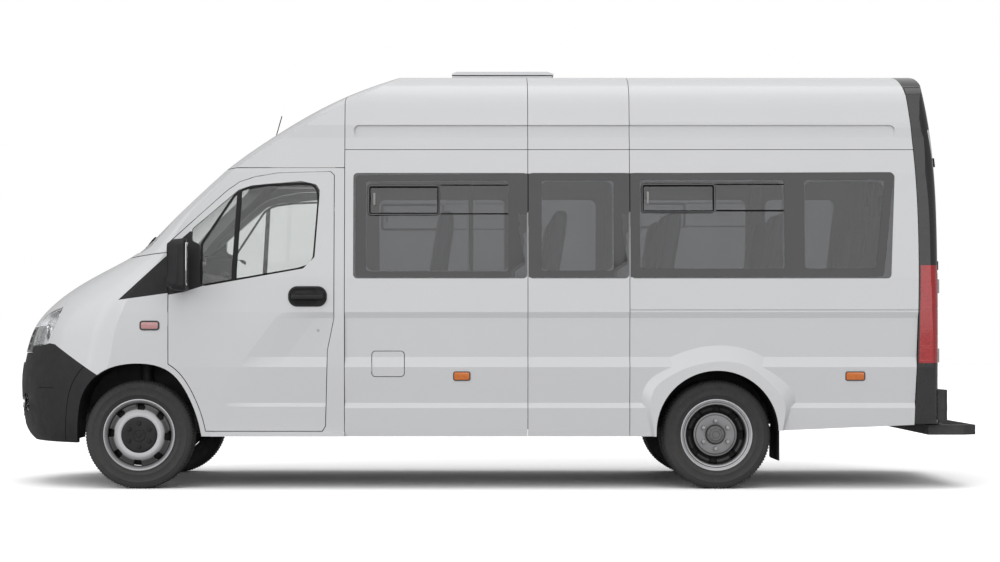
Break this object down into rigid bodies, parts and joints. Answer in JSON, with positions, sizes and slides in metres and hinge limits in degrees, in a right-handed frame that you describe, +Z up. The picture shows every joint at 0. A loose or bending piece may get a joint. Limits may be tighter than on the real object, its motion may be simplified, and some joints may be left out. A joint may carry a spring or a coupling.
{
  "type": "minibus",
  "caption": "High-roof minibus with cab doors, hinged rear doors, hood, fuel flap and roof hatch, twin rear wheels, steered front wheels and a rear step.",
  "frame": {"origin": "bottom centre of the whole vehicle, on the ground between its front-most and rear-most points", "axes": "front of the vehicle towards -X, its left side towards -Y, up is +Z"},
  "size_m": [6.3785, 2.6, 2.786],
  "materials": {
    "white_paint": "gloss",
    "black_plastic": "textured",
    "black_gloss": "gloss",
    "clear_glass": "polished",
    "dark_glass": "polished",
    "lamp_clear": "polished",
    "lamp_red": "gloss",
    "lamp_amber": "gloss",
    "chassis_steel": "satin",
    "bare_steel": "satin",
    "engine_metal": "satin",
    "wheel_silver": "satin",
    "tyre": "matte",
    "floor_grey": "matte",
    "grey_trim": "matte",
    "seat_fabric": "woven",
    "rail_coated": "satin"
  },
  "bodies": {
    "body": {"fenders": "white_paint", "front_bumper": "black_plastic", "grille": "black_gloss", "headlamps": "lamp_clear", "cab_frame": "white_paint", "roof_dome": "white_paint", "windscreen": "clear_glass", "side_panels_left": "white_paint", "side_panels_right": "white_paint", "sliding_door_right": "white_paint", "roof_panels": "white_paint", "rear_frame": "black_gloss", "side_windows": "dark_glass", "tail_lamps": "lamp_red", "chassis_rails": "chassis_steel", "floor": "floor_grey", "bulkhead": "white_paint", "body_hoops": "grey_trim", "engine": "engine_metal", "rear_axle": "chassis_steel", "leaf_springs": "chassis_steel", "front_suspension": "chassis_steel", "fuel_tank": "black_plastic", "exhaust": "bare_steel", "rear_bumper": "chassis_steel", "wheel_housings": "black_plastic", "dashboard": "grey_trim", "seat_cushions": "seat_fabric", "seat_frames": "chassis_steel", "handrails": "rail_coated", "side_lamps": "lamp_amber", "corner_trim": "black_gloss", "hatch_frame": "black_plastic", "hinge_pins": "bare_steel"},
    "hood": {"hood": "white_paint"},
    "left_cab_door": {"door_left": "white_paint", "door_glass_left": "clear_glass", "door_trim_left": "black_plastic"},
    "right_cab_door": {"door_right": "white_paint", "door_glass_right": "clear_glass", "door_trim_right": "black_plastic"},
    "left_rear_door": {"rear_door_left": "white_paint", "rear_glass_left": "dark_glass"},
    "right_rear_door": {"rear_door_right": "white_paint", "rear_glass_right": "dark_glass"},
    "fuel_flap": {"fuel_flap": "white_paint"},
    "roof_hatch": {"hatch_lid": "white_paint"},
    "left_knuckle": {"knuckle_left": "engine_metal"},
    "right_knuckle": {"knuckle_right": "engine_metal"},
    "left_front_wheel": {"front_rim_left": "wheel_silver", "front_tyre_left": "tyre"},
    "right_front_wheel": {"front_rim_right": "wheel_silver", "front_tyre_right": "tyre"},
    "left_rear_wheels": {"rear_rims_left": "wheel_silver", "rear_tyres_left": "tyre"},
    "right_rear_wheels": {"rear_rims_right": "wheel_silver", "rear_tyres_right": "tyre"},
    "steering_wheel": {"steering_wheel": "black_plastic"},
    "steering_rack": {"steering_rack": "bare_steel"}
  },
  "joints": [
    {"name": "hood_hinge", "type": "hinge", "parent": "body", "child": "hood", "pos_m": [-2.3726, 0, 1.53659], "axis": [0, 1, 0], "range_deg": [0, 55]},
    {"name": "left_cab_door_hinge", "type": "hinge", "parent": "body", "child": "left_cab_door", "pos_m": [-2.06289, -1.034, 1.14596], "axis": [0, 0, -1], "range_deg": [0, 70]},
    {"name": "right_cab_door_hinge", "type": "hinge", "parent": "body", "child": "right_cab_door", "pos_m": [-2.06289, 1.034, 1.14596], "axis": [0, 0, 1], "range_deg": [0, 70]},
    {"name": "left_rear_door_hinge", "type": "hinge", "parent": "body", "child": "left_rear_door", "pos_m": [2.9315, -0.93258, 0.8205], "axis": [0, 0, -1], "range_deg": [0, 180]},
    {"name": "right_rear_door_hinge", "type": "hinge", "parent": "body", "child": "right_rear_door", "pos_m": [2.9315, 0.93258, 0.8205], "axis": [0, 0, 1], "range_deg": [0, 180]},
    {"name": "fuel_flap_hinge", "type": "hinge", "parent": "body", "child": "fuel_flap", "pos_m": [-0.7469, -1.03038, 0.79096], "axis": [0, 0, -1], "range_deg": [0, 100]},
    {"name": "roof_hatch_hinge", "type": "hinge", "parent": "body", "child": "roof_hatch", "pos_m": [-0.234, 0, 2.7615], "axis": [0, -1, 0], "range_deg": [0, 15]},
    {"name": "left_kingpin", "type": "hinge", "parent": "body", "child": "left_knuckle", "pos_m": [-2.2585, -0.8, 0.35], "axis": [0, 0, 1], "range_deg": [-35, 35]},
    {"name": "right_kingpin", "type": "hinge", "parent": "body", "child": "right_knuckle", "pos_m": [-2.2585, 0.8, 0.35], "axis": [0, 0, 1], "range_deg": [-35, 35]},
    {"name": "left_front_wheel_spin", "type": "hinge", "parent": "left_knuckle", "child": "left_front_wheel", "pos_m": [-2.2585, -0.875, 0.35], "axis": [0, 1, 0], "continuous": true},
    {"name": "right_front_wheel_spin", "type": "hinge", "parent": "right_knuckle", "child": "right_front_wheel", "pos_m": [-2.2585, 0.875, 0.35], "axis": [0, 1, 0], "continuous": true},
    {"name": "left_rear_wheels_spin", "type": "hinge", "parent": "body", "child": "left_rear_wheels", "pos_m": [1.4865, -0.78, 0.35], "axis": [0, 1, 0], "continuous": true},
    {"name": "right_rear_wheels_spin", "type": "hinge", "parent": "body", "child": "right_rear_wheels", "pos_m": [1.4865, 0.78, 0.35], "axis": [0, 1, 0], "continuous": true},
    {"name": "steering_wheel_turn", "type": "hinge", "parent": "body", "child": "steering_wheel", "pos_m": [-1.59938, -0.45, 1.30733], "axis": [0.53, 0, 0.848], "range_deg": [-540, 540]},
    {"name": "steering_rack_slide", "type": "slide", "parent": "body", "child": "steering_rack", "axis": [0, 1, 0], "range_m": [-0.0801, 0.0801]}
  ],
  "couplings": [
    {"joint": "right_kingpin", "follows": "left_kingpin", "ratio": 1},
    {"joint": "steering_wheel_turn", "follows": "left_kingpin", "ratio": 15},
    {"joint": "steering_rack_slide", "follows": "left_kingpin", "m_per_rad": 0.11}
  ]
}
